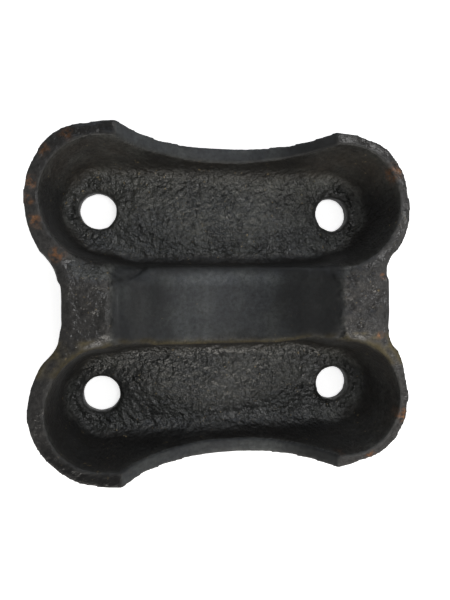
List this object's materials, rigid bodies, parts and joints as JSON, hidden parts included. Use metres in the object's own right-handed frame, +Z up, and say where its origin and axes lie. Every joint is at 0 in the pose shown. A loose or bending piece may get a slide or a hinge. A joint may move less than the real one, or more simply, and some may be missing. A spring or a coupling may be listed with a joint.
{
  "type": "u-bolt plate",
  "caption": "Forged u-bolt clamp plate: twin rounded troughs with bolt holes joined by a waisted rib, all hollowed to seat a round axle.",
  "frame": {"origin": "centre of the plate in plan, on the plane of the nut seats under the troughs", "axes": "+X across the axle, along the troughs; +Y along the axle; +Z up, out of the axle seat"},
  "size_m": [0.2154, 0.1932, 0.05],
  "materials": {
    "forged_steel": "dark forging scale, rough, with light surface rust on the rims"
  },
  "bodies": {
    "root": {"u_bolt_plate": "forged_steel"}
  },
  "joints": []
}
